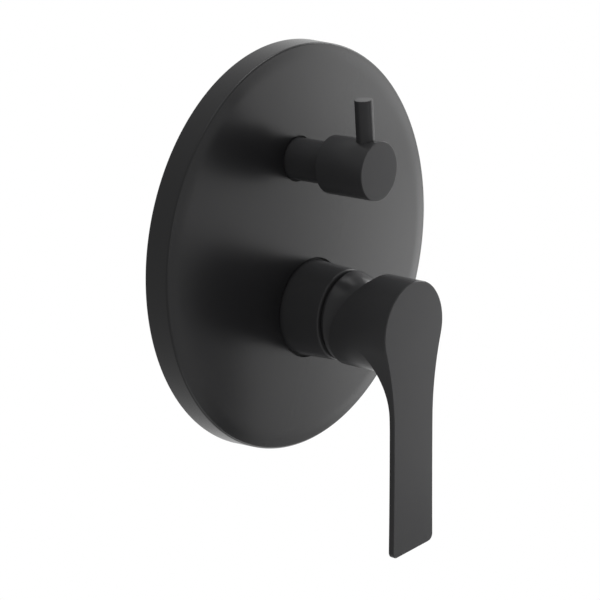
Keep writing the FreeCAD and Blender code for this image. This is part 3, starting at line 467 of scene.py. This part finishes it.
def plate_profile():
    """Up the outside of the rim, in over the face to the middle, and back along the inside. Over
    the last millimetres the face falls by its whole fall x the square of the way out."""
    rim = plate_radius - PLATE_DRAFT
    shoulder = plate_front - FACE_FALL
    start = rim - EDGE_ROUND - FALL_WIDTH
    way = np.linspace(1, 0, FALL_STEPS + 1)[1:]
    fall = [(start + FALL_WIDTH * t, plate_front - FACE_FALL * t * t, 0) for t in way]
    inside = rim - PLATE_WALL
    return [
        (plate_radius - PLATE_WALL, 0, RIM_FOOT_ROUND),
        (plate_radius, 0, RIM_FOOT_ROUND),
        (rim, shoulder, EDGE_ROUND),
        *fall,
        (0, plate_front, 0),
        (0, plate_front - PLATE_WALL, 0),
        (start, plate_front - PLATE_WALL, 0),
        (inside, shoulder - PLATE_WALL, INSIDE_ROUND),
    ]


def keep_modifiers(piece):
    """Makes what the modifiers do part of the mesh."""
    bpy.context.view_layer.update()
    evaluated = piece.evaluated_get(bpy.context.evaluated_depsgraph_get())
    mesh = bpy.data.meshes.new_from_object(evaluated)
    piece.modifiers.clear()
    piece.data = mesh


def punch(piece, radius, height):
    """Cuts a round hole right through the plate."""
    hole = turned(
        "punch",
        [
            (0, PUNCH_BACK, 0),
            (radius, PUNCH_BACK, 0),
            (radius, PUNCH_FRONT, 0),
            (0, PUNCH_FRONT, 0),
        ],
        height,
        plate_coat_painted_darker,
        PUNCH_SIDES,
    )
    cut = piece.modifiers.new("punch", "BOOLEAN")
    cut.object = hole
    cut.operation = "DIFFERENCE"
    cut.solver = "EXACT"
    keep_modifiers(piece)
    bpy.data.objects.remove(hole)


plate = turned("cover_plate_skin", plate_profile(), 0.0, plate_coat_painted_darker, PLATE_SIDES)
punch(plate, MAIN_HOLE, MAIN_HEIGHT)
punch(plate, UPPER_HOLE, UPPER_HEIGHT)
plate.data.set_sharp_from_angle(angle=CRISP_ANGLE)
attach(plate, "fixed")
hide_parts("cover_plate")
print("plate faces:", len(plate.data.polygons))

# %% [markdown]
# ## Two rubber rings
# A soft ring fills each hole between plate and sleeve and keeps the water out of the wall. It
# sits a little below the face, so it shows as a dark line round the foot of each sleeve.

# %% Rings in the plate's holes
RING_RECESS = 1.2 * MM
RING_GAP = 0.02 * MM


def plate_ring(name, node, sleeve_radius, hole_radius, height):
    """A flat ring from the sleeve's foot out to the hole's wall."""
    back = depths(node)[0]
    front = plate_front - RING_RECESS
    inside, outside = sleeve_radius + RING_GAP, hole_radius - RING_GAP
    corners = [(inside, back, 0), (outside, back, 0), (outside, front, 0), (inside, front, 0)]
    ring = turned(name, corners, height, nitrile_rubber)
    ring.data.set_sharp_from_angle(angle=CRISP_ANGLE)
    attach(ring, "fixed")
    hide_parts(node)
    return ring


main_ring = plate_ring(
    "main_hole_ring", "plate_main_gasket", half_width("main_sleeve"), MAIN_HOLE, MAIN_HEIGHT
)
upper_ring = plate_ring(
    "upper_hole_ring",
    "plate_diverter_gasket",
    half_width("diverter_sleeve"),
    UPPER_HOLE,
    UPPER_HEIGHT,
)
print("rings:", main_ring.name, upper_ring.name)

# %% [markdown]
# ## The two sleeves and the domed cap
# The sleeves are tubes that hide the cartridges. The mixer's sleeve is drawn in towards its rim.
# The cap in it has a short skirt, a shadow groove, and a ball shaped shell that the lever's
# hollow head glides over.

# %% Sleeves and cap
EDGE = 0.3 * MM
FOOT_EDGE = 0.1 * MM
STRAIGHT_FOOT = 1.5 * MM
LIP_THICKNESS = 1.4 * MM
MAIN_SLEEVE_BORE = 18.9 * MM
MAIN_SLEEVE_RIM = 20.15 * MM
MAIN_SLEEVE_EDGE = 0.8 * MM
MAIN_SLEEVE_LIP = 1.0 * MM
UPPER_SLEEVE_WALL = 1.6 * MM


def tube(name, node, height, bore, rim_radius, straight_to, edge=EDGE, lip=0.0):
    """A tube with a straight foot, a slight taper to its front rim, and a lip turned inwards."""
    back, front = depths(node)
    radius = half_width(node)
    profile = [
        (bore, back, FOOT_EDGE),
        (radius, back, FOOT_EDGE),
        (radius, straight_to, FOOT_EDGE),
        (rim_radius, front, edge),
        (bore - lip, front, EDGE),
    ]
    if lip:
        profile += [(bore - lip, front - LIP_THICKNESS, 0), (bore, front - LIP_THICKNESS, 0)]
    piece = turned(name, profile, height, fittings_coat_painted_lighter)
    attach(piece, "fixed")
    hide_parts(node)
    return piece


main_sleeve = tube(
    "main_sleeve_skin",
    "main_sleeve",
    MAIN_HEIGHT,
    MAIN_SLEEVE_BORE,
    MAIN_SLEEVE_RIM,
    plate_front + STRAIGHT_FOOT,
    MAIN_SLEEVE_EDGE,
    MAIN_SLEEVE_LIP,
)
diverter_radius = half_width("diverter_sleeve")
diverter_sleeve = tube(
    "diverter_sleeve_skin",
    "diverter_sleeve",
    UPPER_HEIGHT,
    diverter_radius - UPPER_SLEEVE_WALL,
    diverter_radius,
    plate_front + STRAIGHT_FOOT,
)
print("sleeves:", main_sleeve.name, diverter_sleeve.name)

# %% Domed cap
DOME_RADIUS = 20.6 * MM
DOME_WALL = 1.2 * MM
SKIRT_RADIUS = 17.7 * MM
SKIRT_WALL = 0.9 * MM
MOUTH_RADIUS = 10.4 * MM
PIVOT_DEPTH = 29.3 * MM
DOME_EDGE_DEPTH = 33.9 * MM
OUTSIDE_STEPS = 40
INSIDE_STEPS = 24


def ball_arc(radius, from_depth, to_depth, steps):
    """Points of a ball about the pivot between two depths, evenly spaced in angle: radius x the
    angle's cosine out, pivot depth + radius x its sine forward."""
    start = math.asin((from_depth - PIVOT_DEPTH) / radius)
    stop = math.asin((to_depth - PIVOT_DEPTH) / radius)
    angle = np.linspace(start, stop, steps)
    ring = np.stack([radius * np.cos(angle), PIVOT_DEPTH + radius * np.sin(angle)], -1)
    return [(a, b, 0) for a, b in ring]


def cap_profile():
    """Skirt, groove, ball to the mouth, and back down the inside."""
    inner = DOME_RADIUS - DOME_WALL
    bore = SKIRT_RADIUS - SKIRT_WALL
    mouth_outer = PIVOT_DEPTH + math.sqrt(DOME_RADIUS**2 - MOUTH_RADIUS**2)
    mouth_inner = PIVOT_DEPTH + math.sqrt(inner**2 - MOUTH_RADIUS**2)
    foot_inner = PIVOT_DEPTH + math.sqrt(inner**2 - bore**2)
    back = depths("dome_cap")[0]
    return [
        (SKIRT_RADIUS, back, 0),
        (SKIRT_RADIUS, DOME_EDGE_DEPTH, 0),
        *ball_arc(DOME_RADIUS, DOME_EDGE_DEPTH, mouth_outer, OUTSIDE_STEPS),
        *ball_arc(inner, mouth_inner, foot_inner, INSIDE_STEPS),
        (bore, back, 0),
    ]


dome = turned("domed_cap_skin", cap_profile(), MAIN_HEIGHT, fittings_coat_painted_lighter)
dome.data.set_sharp_from_angle(angle=CRISP_ANGLE)
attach(dome, "fixed")
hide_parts("dome_cap")
print("domed cap faces:", len(dome.data.polygons))

# %% [markdown]
# ## Knob and pin
# The knob is a short bar, bored from behind, with its front edge just broken. The pin is a
# smaller bar that stands in its top. At rest it leans a little, because a hand left it so.

# %% Knob
KNOB_RADIUS = 12.6 * MM
KNOB_RECESS = 9.6 * MM
RECESS_DEPTH = 2.5 * MM
knob_back, knob_front = depths("diverter_knob")
knob = turned(
    "diverter_knob_skin",
    [
        (KNOB_RECESS, knob_back + RECESS_DEPTH, 0),
        (KNOB_RECESS, knob_back, EDGE),
        (KNOB_RADIUS, knob_back, EDGE),
        (KNOB_RADIUS, knob_front, EDGE),
        (0, knob_front, 0),
        (0, knob_back + RECESS_DEPTH, 0),
    ],
    UPPER_HEIGHT,
    fittings_coat_painted_lighter,
)
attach(knob, "diverter")
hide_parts("diverter_knob")
print("knob radius", round(KNOB_RADIUS, 4), "length", round(knob_front - knob_back, 4))

# %% Handle pin
PIN_LEAN = math.radians(2.1)
PIN_RADIUS = 3.88 * MM
PIN_DEPTH = 48.5 * MM
PIN_FOOT = 6.5 * MM
PIN_TOP = 30.0 * MM
PIN_EDGE = 0.35 * MM
PIN_SIDES = 64


def upright_pin():
    """P(u, v) = knob axis at the pin's depth + height(v) along the leaning pin + radius(v) round
    it, where sideways turns with the lean and depth doesn't."""
    profile = rounded(
        [
            (0, PIN_FOOT, 0),
            (PIN_RADIUS, PIN_FOOT, PIN_EDGE),
            (PIN_RADIUS, PIN_TOP, PIN_EDGE),
            (0, PIN_TOP, 0),
        ]
    )
    angle = np.linspace(0, 2 * math.pi, PIN_SIDES, endpoint=False)[None, :]
    radius, height = profile[:, 0][:, None], profile[:, 1][:, None]
    side = radius * np.cos(angle)
    x = side * math.cos(PIN_LEAN) + height * math.sin(PIN_LEAN)
    z = UPPER_HEIGHT + height * math.cos(PIN_LEAN) - side * math.sin(PIN_LEAN)
    y = -PIN_DEPTH + radius * np.sin(angle)
    return closed_mesh("handle_pin_skin", np.stack([x, y, z], -1), fittings_coat_painted_lighter)


pin = upright_pin()
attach(pin, "diverter")
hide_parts("diverter_pin")

# %% [markdown]
# ## The lever
# The lever is cast in one piece and ground: a round head, hollow so that it glides over the cap, a
# flared neck and a flat paddle. It isn't a turned form, and the construction model's solid already
# has its arcs, its hollows and its broken edges. It keeps that mesh and only gets its coat.

# %% Lever from the construction model's solid
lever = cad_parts["lever_handle"]
give_finish(lever, fittings_coat_painted_lighter)
print("lever faces:", len(lever.data.polygons))

# %% [markdown]
# ## Studio
# The valve floats in a white studio. The world is white to the camera and to reflections, and a
# softer grey to everything else, so that the backdrop is white without flooding the object. A
# pale floor lies where a bathroom's floor would be, about a metre below the valve.

# %% Backdrop and floor
AMBIENT = 0.43
FLOOR_BELOW = 1.1
FLOOR_REACH = 6.0
WHITE = linear("ffffff")


def white_when_seen(tree):
    """One for rays from the camera and for mirrored and transmitted ones, else nought."""
    path = add_node(tree, "ShaderNodeLightPath")
    seen = add_node(
        tree,
        "ShaderNodeMath",
        {"operation": "MAXIMUM"},
        {0: path.outputs["Is Camera Ray"], 1: path.outputs["Is Glossy Ray"]},
    )
    return add_node(
        tree,
        "ShaderNodeMath",
        {"operation": "MAXIMUM"},
        {0: seen.outputs[0], 1: path.outputs["Is Transmission Ray"]},
    ).outputs[0]


def studio_world(ambient):
    """White background for what is seen, an even grey for the light that it gives."""
    world = bpy.data.worlds.new("studio_world")
    world.use_nodes = True
    tree = world.node_tree
    tree.nodes.clear()
    grey = add_node(tree, "ShaderNodeBackground", {"Color": WHITE, "Strength": ambient})
    white = add_node(tree, "ShaderNodeBackground", {"Color": WHITE, "Strength": 1.0})
    mix = add_node(
        tree,
        "ShaderNodeMixShader",
        {},
        {0: white_when_seen(tree), 1: grey.outputs[0], 2: white.outputs[0]},
    )
    add_node(tree, "ShaderNodeOutputWorld", {}, {"Surface": mix.outputs[0]})
    bpy.context.scene.world = world


def studio_floor(depth_below):
    """A square of pale floor that looks as white as the backdrop."""
    far = FLOOR_REACH
    corners = [(-far, -far), (far, -far), (far, far), (-far, far)]
    mesh = bpy.data.meshes.new("studio_floor")
    mesh.from_pydata([(x, y, -depth_below) for x, y in corners], [], [(0, 1, 2, 3)])
    floor = bpy.data.objects.new("studio_floor", mesh)
    bpy.context.scene.collection.objects.link(floor)
    material = bpy.data.materials.new("pale_floor")
    material.use_nodes = True
    tree = material.node_tree
    tree.nodes.clear()
    matt = add_node(tree, "ShaderNodeBsdfDiffuse", {"Color": linear("f2f2f2")})
    white = add_node(tree, "ShaderNodeEmission", {"Color": WHITE, "Strength": 1.0})
    mix = add_node(
        tree,
        "ShaderNodeMixShader",
        {},
        {0: white_when_seen(tree), 1: matt.outputs[0], 2: white.outputs[0]},
    )
    add_node(tree, "ShaderNodeOutputMaterial", {}, {"Surface": mix.outputs[0]})
    give_finish(floor, material)


studio_world(AMBIENT)
studio_floor(FLOOR_BELOW)
print("the floor lies", FLOOR_BELOW, "m below the valve's middle, and the world gives", AMBIENT)

# %% [markdown]
# ## Lamps
# The shadows on the plate fall to the left, so most of the light comes from the right: three
# soft boxes stand there at different heights, close to the wall, and skim the plate. One dim box
# in front fills the faces, two below light the lever's underside and the rim's lower edge, and
# two above draw the light line along the rim's upper edge. Their powers were matched to the tones
# of the faces, from renders that each had only one lamp lit. The boxes are small against their
# distances, so the shadows are blurred but keep a direction.

# %% Soft boxes
# Name, place in metres, side in metres, power in watts
SOFT_BOXES = [
    ("front_box", (0.0, -1.2, 0.0), 0.5, 1.2),
    ("side_box", (0.45, -0.25, 0.0), 0.2, 0.46),
    ("lower_side_box", (0.7, -0.35, -0.35), 0.3, 1.15),
    ("upper_side_box", (0.9, -0.15, 0.3), 0.4, 3.3),
    ("low_box", (0.4, -0.3, -0.8), 0.5, 2.6),
    ("low_front_box", (-0.1, -0.7, -0.8), 0.5, 1.5),
    ("high_box", (-0.1, -0.1, 1.0), 0.6, 1.7),
    ("top_box", (0.15, -0.02, 0.4), 0.2, 0.54),
]


def soft_box(name, place, size, power):
    """A square area lamp that faces the valve."""
    data = bpy.data.lights.new(name, "AREA")
    data.shape = "SQUARE"
    data.size = size
    data.energy = power
    lamp = bpy.data.objects.new(name, data)
    lamp.location = place
    lamp.rotation_euler = (-Vector(place)).to_track_quat("-Z", "Y").to_euler()
    bpy.context.scene.collection.objects.link(lamp)
    return lamp


lamps = [soft_box(*settings) for settings in SOFT_BOXES]
print("lamps:", [lamp.name for lamp in lamps])
